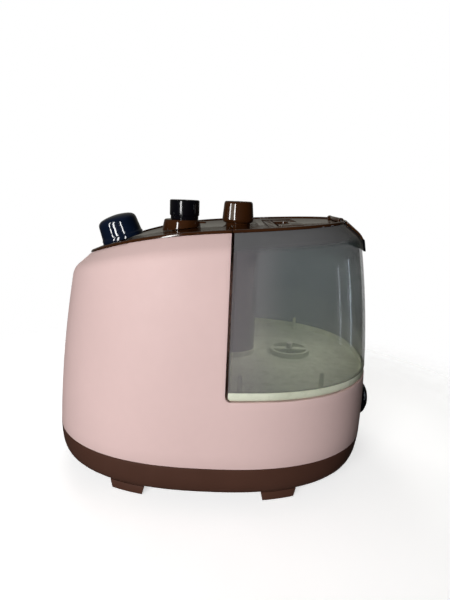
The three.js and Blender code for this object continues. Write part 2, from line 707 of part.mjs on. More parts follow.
function transformer() {
  const core = box([74, 102], [-18, 18], [BOARD_TOP + GAP, BOARD_TOP + 15]);
  const winding = box([70, 106], [-11, 11], [BOARD_TOP + 2, BOARD_TOP + 13]);
  return core.add(winding);
}

part("driver_board", driverBoard(), boardGreen);
part("heat_sink", heatSink(), aluminium);
part("power_board", powerBoard(), boardGreen);
part("transformer", transformer(), copper);

// ---------------------------------------------------------------- blower that drives the mist out

function blowerHousing() {
  const { x, r, bottom, top } = BLOWER;
  const drum = rod(x, 0, [bottom, top], r, r, 32)
    .subtract(rod(x, 0, [bottom + 2, top + 1], r - 2, r - 2, 32));
  const duct = box([x, BASIN.front - 2.6], [PORT.y[0] - 2, PORT.y[1] + 2], [PORT.z[0] - 2, PORT.z[1] + 2]);
  const ductRoom = box([x, BASIN.front + 5], PORT.y, PORT.z);
  const hollow = rod(x, 0, [bottom + 2, top + 1], r - 2, r - 2, 32);
  const legs = [0.6, 2.5, 3.8, 5.6].map((angle) => {
    const reach = r - 1.5;
    return rod(x + reach * Math.cos(angle), reach * Math.sin(angle), [12.3, bottom + 1], 3, 3, 12);
  });
  return union(drum, duct.subtract(hollow), ...legs)
    .subtract(ductRoom)
    .subtract(rod(x, 0, [bottom - 1, bottom + 5], 14, 14, 32));
}

function impeller() {
  const { x } = BLOWER;
  const spindle = rod(x, 0, [74, 96], 1.6, 1.6, 12);
  let wheel = union(rod(x, 0, [82.6, 84.4], 22, 22, 36), spindle, rod(x, 0, [76, 84], 5));
  for (let i = 0; i < 16; i++) {
    const blade = box([16, 21.6], [-0.5, 0.5], [66, 83]).rotate([0, 0, 30]).translate([-4, -9, 0]);
    wheel = wheel.add(blade.rotate([0, 0, i * 22.5]).translate([x, 0, 0]));
  }
  return wheel;
}

function fanMotor() {
  const can = rod(BLOWER.x, 0, [BLOWER.top + 2.7, 108], 13, 13, 32);
  return can.subtract(rod(BLOWER.x, 0, [80, 98], 2, 2, 16));
}

part("blower_housing", blowerHousing(), blackPlastic);
part("blower_cover", tube(BLOWER.x, 0, [BLOWER.top + GAP, BLOWER.top + 2.4], BLOWER.r, 5), blackPlastic);
part("blower_wheel", impeller(), whitePlastic);
part("fan_motor", fanMotor(), steel);
part("air_filter", rod(BLOWER.x, 0, [12.3, 18], 25, 25, 32), foam);
const sealOutside = box([BASIN.front - 2.3, BASIN.front - GAP], [6, 28], [66, 84]);
const sealInside = box([BASIN.front - 5, BASIN.front + 2], PORT.y, PORT.z);
part("duct_seal", sealOutside.subtract(sealInside), rubber);

// ---------------------------------------------------------------- drain cap at the rear

const drainTip = BODY_X + BODY_LENGTH / 2 + CAP_PROUD;
const drainFace = BODY_X + rearLength(DRAIN_Z) + GAP + 0.3;
const drainCapProfile = [
  [0, 128],
  [4.4, 128],
  [4.4, drainFace],
  [19, drainFace],
  [19, drainFace + 2.4],
  [17.8, drainFace + 5.2],
  [14.8, drainFace + 8.2],
  [9.6, drainTip - 0.9],
  [0, drainTip],
];
part("drain_cap", turnedAlongX(drainCapProfile, 0, 0, DRAIN_Z, 32), blackGloss);
const sealSection = [[4.6, 0], [5.8, 0], [5.8, 2.4], [4.6, 2.4], [4.6, 0]];
part("drain_seal", turnedAlongX(sealSection, 132, 0, DRAIN_Z, 24), rubber);

// ---------------------------------------------------------------- mains inlet, on the far side of the rear

function powerInlet() {
  const block = box([118, 150], [34, 56], [16, 30]).intersect(ovalSlab(2.6, 10, 34));
  const socket = box([129, 155], [36.5, 53.5], [19, 27]);
  const pins = [41, 49].map((y) => turnedAlongX([[0, 0], [1.2, 0], [1.2, 6], [0, 6]], 128.5, y, 23, 12));
  return union(block.subtract(socket), ...pins);
}

part("power_inlet", powerInlet(), blackPlastic);

// ---------------------------------------------------------------- internal leads

function lead(points, wireR) {
  const curve = new THREE.CatmullRomCurve3(points.map((p) => new THREE.Vector3(...p)));
  return wireAlong(curve, wireR, 14, 6);
}

const dialLead = [
  [-93, 9, 190], [-86, 40, 178], [-78, 72, 150], [-76, 76, 100],
  [-72, 70, 50], [-56, 46, 28], [-46, 33, 24],
];
const inletLead = [[117.4, 45, 23], [112, 45, 24], [106, 40, 26], [98, 33, 25.5]];
const linkLead = [[53, 20, 24.6], [46, 22, 25.5], [36, 22, 25.5], [28.5, 20, 24.6]];
part("dial_lead", lead(dialLead, 1.6), blackPlastic);
part("inlet_lead", lead(inletLead, 2.4), blackPlastic);
part("link_lead", lead(linkLead, 1.8), blackPlastic);

export default humidifier;
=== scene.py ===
import json
import math

import bmesh
import bpy
from mathutils import Matrix, Vector


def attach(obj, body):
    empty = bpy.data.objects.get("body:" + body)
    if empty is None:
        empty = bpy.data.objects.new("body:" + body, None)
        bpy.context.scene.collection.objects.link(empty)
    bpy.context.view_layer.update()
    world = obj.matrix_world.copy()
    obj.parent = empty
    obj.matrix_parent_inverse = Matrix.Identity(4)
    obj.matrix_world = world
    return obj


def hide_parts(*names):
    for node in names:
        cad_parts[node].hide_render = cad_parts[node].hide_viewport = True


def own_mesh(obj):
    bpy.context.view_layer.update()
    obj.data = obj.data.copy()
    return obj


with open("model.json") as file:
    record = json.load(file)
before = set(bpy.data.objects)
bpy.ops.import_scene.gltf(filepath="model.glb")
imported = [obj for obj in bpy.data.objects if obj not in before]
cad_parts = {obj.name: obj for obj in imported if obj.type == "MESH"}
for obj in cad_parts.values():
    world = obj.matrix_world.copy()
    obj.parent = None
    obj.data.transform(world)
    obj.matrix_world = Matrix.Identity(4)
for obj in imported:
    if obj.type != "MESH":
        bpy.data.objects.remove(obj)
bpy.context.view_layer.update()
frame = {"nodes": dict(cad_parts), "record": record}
NODES = frame["nodes"]

# ---------------------------------------------------------------- dimensions, in millimetres

MM = 0.001
BODY_LENGTH, BODY_WIDTH, BODY_X = 312, 247, -6
OVAL_POWER = 2.4
FOOT_HEIGHT, JOINT_Z, SHELF_Z, SEAM_X = 9, 36, 96.5, 8
WALL, TANK_WALL, GAP = 2.8, 2.5, 0.3
WALL_RISE = 200
FRONT_TAPER, REAR_TAPER = (9.5, 17.3), (-4.4, 22.9)
RIM_INSET, SHOULDER = 13, 13
RIM_Z, NOSE_X, TOP_SLOPE = 232, 10, 0.078
NOSE_DROP, NOSE_LENGTH, NOSE_POWER = 20.9, 141.5, 2.65
NOZZLE_X, COLLAR_X, POST_X, COLUMN_R = -40, -42.4, 13.8, 19
NOZZLE_TOP, NECK_R = 255.2, 12.75
DIAL_X, DIAL_TILT = -101.4, math.radians(-19.5)
TANK_BOTTOM_Z, TANK_JOIN_Z = SHELF_Z + 0.5, 104.7
DRAIN_Z, CAP_PROUD = 52, 12
FLAP_X = 111
HANDLE_X = 70
VALVE_X = 75
FAR = 400
OVAL_STEPS = 160

# ---------------------------------------------------------------- camera

CAMERA_PLACE = Vector((0.0073, -0.4606, 0.2633))
CAMERA_YAW, CAMERA_PITCH, CAMERA_ROLL = -0.007, 0.2327, 0.0403
CAMERA_LENS = 27.06


def make_camera():
    yaw, pitch, roll = CAMERA_YAW, CAMERA_PITCH, CAMERA_ROLL
    ahead = Vector((math.sin(yaw) * math.cos(pitch), math.cos(yaw) * math.cos(pitch), -math.sin(pitch)))
    level_right = Vector((math.cos(yaw), -math.sin(yaw), 0))
    level_up = level_right.cross(ahead)
    right = math.cos(roll) * level_right + math.sin(roll) * level_up
    up = -math.sin(roll) * level_right + math.cos(roll) * level_up
    data = bpy.data.cameras.new("camera")
    data.sensor_width = 36
    data.lens = CAMERA_LENS
    data.clip_start, data.clip_end = 0.01, 20
    cam = bpy.data.objects.new("camera", data)
    cam.matrix_world = Matrix((
        (right.x, up.x, -ahead.x, CAMERA_PLACE.x),
        (right.y, up.y, -ahead.y, CAMERA_PLACE.y),
        (right.z, up.z, -ahead.z, CAMERA_PLACE.z),
        (0, 0, 0, 1),
    ))
    bpy.context.scene.collection.objects.link(cam)
    bpy.context.scene.camera = cam


make_camera()

# ---------------------------------------------------------------- the oval body's form


def tapered(z, taper):
    rise = (z - JOINT_Z) / WALL_RISE
    return BODY_LENGTH / 2 - taper[0] * rise - taper[1] * rise * rise


def rounded(v):
    return math.copysign(abs(v) ** (2 / OVAL_POWER), v)


def half_width(z):
    return BODY_WIDTH / 2 * (tapered(z, FRONT_TAPER) + tapered(z, REAR_TAPER)) / BODY_LENGTH


def oval_point(angle, z, inset):
    along = rounded(math.cos(angle))
    length = tapered(z, FRONT_TAPER if along < 0 else REAR_TAPER)
    return BODY_X + (length - inset) * along, (half_width(z) - inset) * rounded(math.sin(angle))


def rim_height(x):
    ahead = max(0, NOSE_X - x) / NOSE_LENGTH
    return RIM_Z + TOP_SLOPE * (x - NOSE_X) - NOSE_DROP * ahead ** NOSE_POWER


def crease_height(x):
    return rim_height(BODY_X + 0.9 * (x - BODY_X)) - SHOULDER


def ring(inset, height_at, steps=OVAL_STEPS):
    points = []
    for i in range(steps):
        angle = 2 * math.pi * i / steps
        z = SHELF_Z
        for _ in range(6):
            z = height_at(oval_point(angle, z, inset)[0])
        x, y = oval_point(angle, z, inset)
        points.append((x, y if i % (steps // 2) else 0, z))
    return points


def level(z):
    return lambda x: z


def over_rim(height):
    return lambda x: rim_height(x) + height


# ---------------------------------------------------------------- mesh making


def new_object(name, mesh):
    obj = bpy.data.objects.new(name, mesh)
    bpy.context.scene.collection.objects.link(obj)
    return obj


def make_mesh(name, points, faces):
    mesh = bpy.data.meshes.new(name)
    mesh.from_pydata([(x * MM, y * MM, z * MM) for x, y, z in points], [], faces)
    mesh.update()
    return new_object(name, mesh)


def loft(name, rings):
    """One closed skin over rings of points, each ring mirrored about the XZ plane."""
    count = len(rings[0])
    faces = []
    for low in range(0, (len(rings) - 1) * count, count):
        for i in range(count):
            after = (i + 1) % count
            faces.append((low + i, low + after, low + count + after, low + count + i))
    last = (len(rings) - 1) * count
    for i in range(count // 2):
        corners = [i, i + 1, (count - i - 1) % count, (count - i) % count]
        corners = list(dict.fromkeys(corners))
        faces.append(tuple(reversed(corners)))
        faces.append(tuple(last + c for c in corners))
    return make_mesh(name, [p for r in rings for p in r], faces)


def turned(name, profile, steps=96, place=(0, 0, 0), along="Z", tilt=0.0, wave=None):
    """A turned piece: (radius, height) points from the axis back to the axis, or a closed loop off the axis.

    wave(angle, height) adds to the radius.
    """
    inner = profile[1:-1] if profile[0][0] == 0 else profile[:-1]
    closed = profile[0][0] != 0
    points, faces = [], []
    for i in range(steps):
        angle = 2 * math.pi * i / steps
        for r, h in inner:
            q = r + (wave(angle, h) if wave else 0)
            points.append((q * math.cos(angle), q * math.sin(angle), h))
    n = len(inner)
    for i in range(steps):
        a, b = i * n, (i + 1) % steps * n
        for k in range(n if closed else n - 1):
            m = (k + 1) % n
            faces.append((a + k, b + k, b + m, a + m))
    if not closed:
        bottom, top = len(points), len(points) + 1
        points += [(0, 0, profile[0][1]), (0, 0, profile[-1][1])]
        for i in range(steps):
            a, b = i * n, (i + 1) % steps * n
            faces.append((bottom, b, a))
            faces.append((top, a + n - 1, b + n - 1))
    obj = make_mesh(name, points, faces)
    turn = Matrix.Rotation(tilt, 4, "Y")
    if along == "X":
        turn = Matrix.Rotation(math.pi / 2, 4, "Y")
    obj.data.transform(Matrix.Translation(Vector(place) * MM) @ turn)
    return obj


def rod(x, y, z, r, steps=64):
    return turned("tool", [(0, z[0]), (r, z[0]), (r, z[1]), (0, z[1])], steps, (x, y, 0))


def box(xs, ys, zs):
    points = [(x, y, z) for x in xs for y in ys for z in zs]
    faces = [(0, 1, 3, 2), (4, 6, 7, 5), (0, 4, 5, 1), (2, 3, 7, 6), (0, 2, 6, 4), (1, 5, 7, 3)]
    return make_mesh("tool", points, faces)


def across(outline, ys):
    """A prism along Y from an outline of (x, z) points, anticlockwise seen from -Y."""
    n = len(outline)
    points = [(x, ys[0], z) for x, z in outline] + [(x, ys[1], z) for x, z in outline]
    faces = [tuple(range(n)), tuple(reversed(range(n, 2 * n)))]
    faces += [(i, i + n, (i + 1) % n + n, (i + 1) % n) for i in range(n)]
    return make_mesh("tool", points, faces)


def combine(obj, tool, operation):
    mod = obj.modifiers.new("join", "BOOLEAN")
    mod.operation, mod.solver, mod.object = operation, "EXACT", tool
    bpy.context.view_layer.update()
    made = bpy.data.meshes.new_from_object(obj.evaluated_get(bpy.context.evaluated_depsgraph_get()))
    obj.modifiers.clear()
    obj.data = made
    bpy.data.objects.remove(tool)
    return obj


def cut(obj, *tools):
    for tool in tools:
        combine(obj, tool, "DIFFERENCE")
    return obj


def keep(obj, *tools):
    for tool in tools:
        combine(obj, tool, "INTERSECT")
    return obj


def add(obj, *tools):
    for tool in tools:
        combine(obj, tool, "UNION")
    return obj


def soften(obj, width, angle=35, segments=2):
    """Rounds the sharp edges a little and shades the rest smooth."""
    made = bmesh.new()
    made.from_mesh(obj.data)
    bmesh.ops.remove_doubles(made, verts=made.verts, dist=2e-6)
    bmesh.ops.recalc_face_normals(made, faces=made.faces)
    made.to_mesh(obj.data)
    made.free()
    if width:
        bevel = obj.modifiers.new("edge", "BEVEL")
        bevel.width, bevel.segments = width * MM, segments
        bevel.limit_method, bevel.angle_limit = "ANGLE", math.radians(angle)
        bevel.use_clamp_overlap = True
        bevel.harden_normals = False
        bpy.context.view_layer.update()
        done = bpy.data.meshes.new_from_object(obj.evaluated_get(bpy.context.evaluated_depsgraph_get()))
        obj.modifiers.clear()
        obj.data = done
    obj.data.shade_smooth()
    obj.data.set_sharp_from_angle(angle=math.radians(32))
    return obj


# ---------------------------------------------------------------- materials


class Look:
    """A node material on object coordinates, in metres."""

    def __init__(self, name):
        self.material = bpy.data.materials.new(name)
        self.material.use_nodes = True
        self.tree = self.material.node_tree
        self.shader = self.tree.nodes["Principled BSDF"]
        self.where = self.tree.nodes.new("ShaderNodeTexCoord").outputs["Object"]

    def node(self, kind, **values):
        made = self.tree.nodes.new(kind)
        for key, value in values.items():
            setattr(made, key, value)
        return made

    def link(self, a, b):
        self.tree.links.new(a, b)

    def noise(self, scale, detail=4.0, stretch=(1, 1, 1), rough=0.5):
        mapping = self.node("ShaderNodeMapping")
        mapping.inputs["Scale"].default_value = stretch
        self.link(self.where, mapping.inputs["Vector"])
        made = self.node("ShaderNodeTexNoise")
        made.inputs["Scale"].default_value = scale
        made.inputs["Detail"].default_value = detail
        made.inputs["Roughness"].default_value = rough
        self.link(mapping.outputs["Vector"], made.inputs["Vector"])
        return made.outputs["Fac"]

    def ramp(self, value, *stops):
        made = self.node("ShaderNodeValToRGB")
        elements = made.color_ramp.elements
        while len(elements) < len(stops):
            elements.new(0.5)
        for element, (place, color) in zip(elements, stops):
            element.position = place
            element.color = (*color, 1)
        self.link(value, made.inputs["Fac"])
        return made.outputs["Color"]

    def range(self, value, low, high, start=0.3, end=0.7):
        made = self.node("ShaderNodeMapRange", interpolation_type="SMOOTHSTEP")
        for key, number in (("From Min", start), ("From Max", end), ("To Min", low), ("To Max", high)):
            made.inputs[key].default_value = number
        self.link(value, made.inputs["Value"])
        return made.outputs["Result"]

    def mix(self, fac, a, b, blend="MIX"):
        made = self.node("ShaderNodeMix", data_type="RGBA", blend_type=blend)
        for socket, value in ((made.inputs["Factor"], fac), (made.inputs["A"], a), (made.inputs["B"], b)):
            if isinstance(value, bpy.types.NodeSocket):
                self.link(value, socket)
            elif isinstance(value, (int, float)):
                socket.default_value = value
            else:
                socket.default_value = (*value, 1)
        return made.outputs["Result"]

    def colour(self, value):
        self.link(value, self.shader.inputs["Base Color"])

    def roughness(self, value):
        self.link(value, self.shader.inputs["Roughness"])

    def bump(self, value, strength, distance=0.0002):
        made = self.node("ShaderNodeBump")
        made.inputs["Strength"].default_value = strength
        made.inputs["Distance"].default_value = distance
        self.link(value, made.inputs["Height"])
        self.link(made.outputs["Normal"], self.shader.inputs["Normal"])

    def set(self, **values):
        for key, value in values.items():
            self.shader.inputs[key.replace("_", " ").title().replace("Ior", "IOR")].default_value = value


def linear(*srgb):
    return tuple((c / 255 / 12.92) if c <= 10 else ((c / 255 + 0.055) / 1.055) ** 2.4 for c in srgb)


def shade(color, factor):
    return tuple(c * factor for c in color)


def plastic(name, color, rough, spread=0.05, tint=0.06, grain=2600, grain_depth=0.12, coat=0.0, specular=0.5):
    """Moulded plastic: a faint cloudiness in colour, uneven gloss and a fine moulded grain."""
    look = Look(name)
    cloud = look.noise(22, 3)
    look.colour(look.ramp(cloud, (0.3, shade(color, 1 - tint)), (0.7, shade(color, 1 + tint))))
    smear = look.noise(90, 5, (1, 1, 0.5))
    look.roughness(look.range(smear, rough - spread, rough + spread))
    look.bump(look.noise(grain, 2), grain_depth, 0.00006)
    look.set(specular_ior_level=specular)
    if coat:
        look.set(coat_weight=coat, coat_roughness=0.06)
    return look.material


def metal(name, color, rough, stretch=(1, 1, 14)):
    look = Look(name)
    line = look.noise(700, 6, stretch)
    look.colour(look.ramp(line, (0.3, shade(color, 0.85)), (0.7, shade(color, 1.1))))
    look.roughness(look.range(line, rough - 0.08, rough + 0.1))
    look.bump(line, 0.12, 0.00005)
    look.set(metallic=1.0)
    return look.material


def pink_material():
    color = linear(229, 200, 196)
    look = Look("shell_pink")
    cloud = look.noise(9, 3)
    fine = look.noise(140, 4)
    base = look.ramp(cloud, (0.3, shade(color, 0.97)), (0.7, shade(color, 1.02)))
    look.colour(look.mix(look.range(fine, 0.0, 0.05), base, shade(color, 0.8)))
    look.roughness(look.range(look.noise(60, 4), 0.5, 0.6))
    look.bump(look.noise(2400, 2), 0.08, 0.00005)
    look.set(specular_ior_level=0.22)
    return look.material


def gloss_material(name, color, rough, specular):
    """Polished plastic with a trace of dust and fine wiping marks."""
    look = Look(name)
    cloud = look.noise(40, 3)
    dust = look.noise(900, 5)
    base = look.ramp(cloud, (0.3, shade(color, 0.85)), (0.7, shade(color, 1.15)))
    look.colour(look.mix(look.range(dust, 0.0, 0.01, 0.55, 0.75), base, linear(120, 108, 98)))
    wipe = look.noise(160, 6, (1, 0.15, 1))
    look.roughness(look.range(wipe, max(0.02, rough - 0.03), rough + 0.06))
    look.bump(look.noise(45, 1), 0.006, 0.0001)
    look.set(specular_ior_level=specular)
    return look.material


def tank_material():
    """Smoky clear plastic. Low down the wall is painted paler and more opaque, painted light that stands for
    the lit tank floor seen through it and hides the rim's shadow on that floor. Above the crease the shoulder
    is painted its own grey and more opaque, painted shade of that up-facing band. Near the seam the wall is
    painted purplish grey, painted light that stands for the lit pink column behind it.
    """
    look = Look("tank_smoke")
    parts = look.node("ShaderNodeSeparateXYZ")
    look.link(look.where, parts.inputs[0])
    streak = look.noise(26, 4, (1, 1, 0.25))
    wander = look.node("ShaderNodeMath", operation="MULTIPLY_ADD")
    look.link(look.noise(14, 3), wander.inputs[0])
    wander.inputs[1].default_value = 0.05
    look.link(parts.outputs["Z"], wander.inputs[2])
    upper = look.ramp(streak, (0.3, linear(70, 82, 84)), (0.7, linear(82, 94, 95)))
    # painted light: the paler lower band stands for the lit tank floor seen through the wall
    low_painted_light = look.ramp(streak, (0.3, linear(139, 143, 133)), (0.7, linear(149, 152, 142)))
    high = look.range(wander.outputs[0], 0.0, 1.0, 0.1, 0.2)
    # painted light: near the seam the wall is tinted purplish grey to stand for the lit pink column seen
    # through it
    behind_seam = look.range(parts.outputs["X"], 0.75, 0.0, 0.012, 0.062)
    slanted = look.node("ShaderNodeMath", operation="MULTIPLY_ADD")
    look.link(parts.outputs["X"], slanted.inputs[0])
    crease_fall = (crease_height(20) - crease_height(140)) / 120
    slanted.inputs[1].default_value = crease_fall
    look.link(parts.outputs["Z"], slanted.inputs[2])
    crease = (crease_height(20) + 20 * crease_fall) * MM
    # painted shade: above the crease the shoulder gets its own grey and more opacity, for the darker look of
    # that up-facing band
    shoulder_painted_shade = look.range(slanted.outputs[0], 0.0, 1.0, crease - 0.003, crease + 0.003)
    body_color = look.mix(behind_seam, look.mix(high, low_painted_light, upper), linear(138, 132, 136))
    look.colour(look.mix(shoulder_painted_shade, body_color, linear(108, 109, 111)))
    look.roughness(look.range(look.noise(70, 4, (1, 1, 0.4)), 0.06, 0.14))
    opacity = look.node("ShaderNodeMath", operation="MAXIMUM")
    # more opaque low down, part of the painted light of the lower band
    look.link(look.range(wander.outputs[0], 0.585, 0.52, 0.12, 0.22), opacity.inputs[0])
    look.link(look.range(slanted.outputs[0], 0.5, 0.84, crease - 0.004, crease + 0.004), opacity.inputs[1])
    look.link(opacity.outputs[0], look.shader.inputs["Alpha"])
    look.set(specular_ior_level=0.5)
    return look.material


def pale_material():
    """The tank's milky bottom, a little see-through."""
    look = Look("tank_pale")
    cloud = look.noise(30, 4)
    look.colour(look.ramp(cloud, (0.3, linear(222, 228, 204)), (0.7, linear(238, 242, 220))))
    look.roughness(look.range(look.noise(120, 3), 0.25, 0.4))
    look.bump(look.noise(500, 2), 0.06, 0.0001)
    look.link(look.range(cloud, 0.88, 0.95), look.shader.inputs["Alpha"])
    return look.material


def board_material():
    look = Look("circuit_board")
    green = linear(24, 84, 52)
    cells = look.node("ShaderNodeTexVoronoi", feature="DISTANCE_TO_EDGE")
    cells.inputs["Scale"].default_value = 260
    look.link(look.where, cells.inputs["Vector"])
    track = look.range(cells.outputs["Distance"], 1.0, 0.0, 0.03, 0.07)
    mask = look.ramp(look.noise(60, 3), (0.3, shade(green, 0.8)), (0.7, green))
    look.colour(look.mix(track, mask, linear(52, 128, 74)))
    look.roughness(look.range(look.noise(200, 3), 0.3, 0.5))
    look.bump(track, 0.3, 0.0001)
    return look.material


def foam_material():
    look = Look("filter_foam")
    cells = look.node("ShaderNodeTexVoronoi")
    cells.inputs["Scale"].default_value = 700
    look.link(look.where, cells.inputs["Vector"])
    look.colour(look.ramp(cells.outputs["Distance"], (0.1, linear(28, 30, 32)), (0.6, linear(86, 90, 94))))
    look.bump(cells.outputs["Distance"], 0.8, 0.0006)
    look.set(roughness=0.95)
    return look.material


BROWN_GLOSS = (0.045, 0.015, 0.0045)
looks = {
    "shell_pink": pink_material(),
    "base_brown": plastic(
        "base_brown", linear(80, 53, 43), 0.45, tint=0.08, grain=2200, grain_depth=0.2, specular=0.3,
    ),
    "brown_gloss": gloss_material("brown_gloss", BROWN_GLOSS, 0.07, 0.5),
    "black_gloss": gloss_material("black_gloss", (0.003, 0.003, 0.005), 0.13, 0.5),
    "dial_navy": gloss_material("dial_navy", (0.004, 0.009, 0.024), 0.07, 0.5),
    "tank_smoke": tank_material(),
    "tank_pale": pale_material(),
    "white_plastic": plastic("white_plastic", linear(226, 224, 214), 0.45),
    "black_plastic": plastic("black_plastic", linear(30, 31, 33), 0.45, tint=0.15),
    "rubber": plastic("rubber", linear(32, 32, 33), 0.8, tint=0.15, grain=1500, grain_depth=0.3),
    "steel": metal("steel", (0.55, 0.56, 0.58), 0.28),
    "aluminium": metal("aluminium", (0.62, 0.63, 0.65), 0.38, (1, 14, 1)),
    "brass": metal("brass", (0.72, 0.5, 0.2), 0.3),
    "circuit_board": board_material(),
    "winding": metal("winding", (0.45, 0.19, 0.07), 0.35, (30, 1, 1)),
    "filter_foam": foam_material(),
    "ceramic": plastic("ceramic", linear(218, 208, 184), 0.25, tint=0.04, coat=0.4),
}

for row in frame["record"]["subparts"]:
    node = NODES[row["node"]]
    node.data.materials.clear()
    node.data.materials.append(looks[row["material_slot"]])
    node.data.shade_smooth()
    node.data.set_sharp_from_angle(angle=math.radians(40))


def finish_piece(obj, name, body, slot, *nodes):
    obj.name = name
    obj.data.name = name
    obj.data.materials.clear()
    obj.data.materials.append(looks[slot])
    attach(obj, body)
    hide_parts(*nodes)
    return obj


# ---------------------------------------------------------------- the skin of the body


def skin_rings(depth, bottom, corner, levels=14, raise_by=0.0):
    """Rings of the outer form, drawn in by a depth, with the crease rounded over a corner's length."""
    crease_at = lambda x: crease_height(x) - 0.43 * depth
    rim_at = lambda x: rim_height(x) - 0.73 * depth
    rim_inset = RIM_INSET + 0.68 * depth
    share = corner / math.hypot(RIM_INSET, SHOULDER)

    def between(t):
        return lambda x: bottom + (crease_at(x) - corner - bottom) * t

    rings = [ring(depth, between(i / levels)) for i in range(levels + 1)]
    for i in range(1, 7):
        t = i / 6
        low, mid, high = (1 - t) ** 2, 2 * t * (1 - t), t * t
        inset = depth + high * share * (rim_inset - depth)

        def height(x, low=low, mid=mid, high=high):
            crease, rim = crease_at(x), rim_at(x)
            return low * (crease - corner) + mid * crease + high * (crease + share * (rim - crease))

        rings.append(ring(inset, height))
    for t in (0.4, 0.8):
        at = share + (1 - share) * t
        rings.append(ring(
            depth + at * (rim_inset - depth),
            lambda x, at=at: crease_at(x) + at * (rim_at(x) - crease_at(x)),
        ))
    rings.append(ring(rim_inset, rim_at))
    if raise_by:
        rings.append(ring(rim_inset, lambda x: rim_height(x) + raise_by))
    return rings


def corner_outline(x, z, radius):
    """An L-shaped boundary with a rounded inner corner: the region behind x and above z."""
    arc = [
        (x + radius - radius * math.cos(a), z + radius - radius * math.sin(a))
        for a in (math.pi / 2 * i / 8 for i in range(9))
    ]
    return arc + [(FAR, z), (FAR, FAR), (x, FAR)]


def rounded_box(xs, ys, zs, r, steps=8):
    """A block whose upright edges are rounded."""
    corners = []
    left, right, near, back = xs[0] + r, xs[1] - r, ys[0] + r, ys[1] - r
    for cx, cy, turn in ((right, back, 0), (left, back, 1), (left, near, 2), (right, near, 3)):
        for i in range(steps + 1):
            angle = math.pi / 2 * (turn + i / steps)
            corners.append((cx + r * math.cos(angle), cy + r * math.sin(angle)))
    n = len(corners)
    points = [(x, y, zs[0]) for x, y in corners] + [(x, y, zs[1]) for x, y in corners]
    faces = [tuple(reversed(range(n))), tuple(range(n, 2 * n))]
    faces += [(i, (i + 1) % n, (i + 1) % n + n, i + n) for i in range(n)]
    return make_mesh("tool", points, faces)


def pin(x, z, ys, r, steps=48):
    """A round bar along Y."""
    bar = turned("tool", [(0, ys[0]), (r, ys[0]), (r, ys[1]), (0, ys[1])], steps)
    bar.data.transform(Matrix.Translation(Vector((x, 0, z)) * MM) @ Matrix.Rotation(-math.pi / 2, 4, "X"))
    return bar


def behind(x):
    return box((x, FAR), (-FAR, FAR), (-FAR, FAR))


def column(r):
    return rod(POST_X, 0, (-10, 300), r, 96)


# ---------------------------------------------------------------- base, feet and pink shell

SCREW_ANGLES = (0.75, math.pi - 0.75, math.pi + 0.75, 2 * math.pi - 0.75)
FOOT_PLACES = ((-76, 1), (-76, -1), (59, 1), (59, -1))
FOOT_STEM_Y = 90
SEAM_CORNER = 5

pan = loft("pan", [
    ring(9, level(FOOT_HEIGHT)), ring(7.3, level(9.25)), ring(5.6, level(10.2)), ring(4.3, level(11.8)),
    ring(3.2, level(14)), ring(2.2, level(17)), ring(1.4, level(20.5)), ring(0.6, level(27)),
    ring(0.1, level(33.5)), ring(0, level(JOINT_Z)),
])
cut(pan, loft("tool", [ring(12, level(12)), ring(6.4, level(16)), ring(3, level(JOINT_Z + 1))]))
cut(pan, box((118, 170), (33.7, 56.3), (15.7, 30.3)))
for y in range(-16, 17, 8):
    cut(pan, rounded_box((-122, -86), (y - 1.7, y + 1.7), (0, 20), 1.6))
for angle in SCREW_ANGLES:
    x, y = oval_point(angle, JOINT_Z, 16)
    cut(pan, rod(x, y, (0, 20), 4.6, 32))
for x, side in FOOT_PLACES:
    cut(pan, rod(x, side * FOOT_STEM_Y, (0, 20), 3.3, 32))
soften(pan, 0.5)
finish_piece(pan, "brown_base", "housing", "base_brown", "base_pan")

for i, (x, side) in enumerate(FOOT_PLACES):
    top = FOOT_HEIGHT - GAP
    block = loft("foot", [ring(7.2, level(0)), ring(6.2, level(1)), ring(6.2, level(top))])
    cut(block, loft("tool", [ring(26, level(-1)), ring(26, level(FOOT_HEIGHT))]))
    outline = [(x - 14, 0), (x + 14, 0), (x + 16, top + 0.1), (x - 16, top + 0.1)]
    keep(block, across(outline, (20 * side, 140 * side)))
    add(block, rod(x, side * FOOT_STEM_Y, (top - 1, 13), 3, 32))
    soften(block, 0.7)
    finish_piece(block, f"pad_foot_{i + 1}", "housing", "base_brown", f"foot_{i + 1}")

shell = loft("shell", skin_rings(0, JOINT_Z + GAP, 6))
cut(shell, loft("tool", skin_rings(WALL, JOINT_Z - 2, 5, 8, 8)))
cut(shell, across(corner_outline(SEAM_X, SHELF_Z, SEAM_CORNER), (-FAR, FAR)))
cut(shell, turned("tool", [(0, 0), (9, 0), (9, 60), (0, 60)], 64, (120, 0, DRAIN_Z), "X"))
soften(shell, 0.6)
finish_piece(shell, "pink_shell", "housing", "shell_pink", "body_shell")

fit = WALL + 3 * GAP
cradle = loft("cradle", [ring(fit, level(SHELF_Z - 3.5)), ring(fit, level(SHELF_Z - 0.5))])
keep(cradle, behind(SEAM_X - 3))
bulkhead = loft("tool", skin_rings(fit, SHELF_Z - 3.5, 5, 8))
keep(bulkhead, box((SEAM_X - 3, SEAM_X), (-FAR, FAR), (0, FAR)))
add(cradle, bulkhead, keep(rod(POST_X, 0, (SHELF_Z - 3.5, 240), COLUMN_R, 96), behind(SEAM_X - 2.9)))
cut(cradle, rod(POST_X, 0, (SHELF_Z - 0.5, 300), COLUMN_R - 2.5, 96), rod(POST_X, 0, (80, 300), 13, 64))
cut(cradle, rod(VALVE_X, 0, (80, 110), 27.5, 96))
cut(cradle, loft("tool", [ring(0, over_rim(-2.7)), ring(0, over_rim(32))]))
soften(cradle, 0.4)
finish_piece(cradle, "bay_wall", "housing", "shell_pink", "tank_cradle")

# ---------------------------------------------------------------- glossy top panel with its raised border

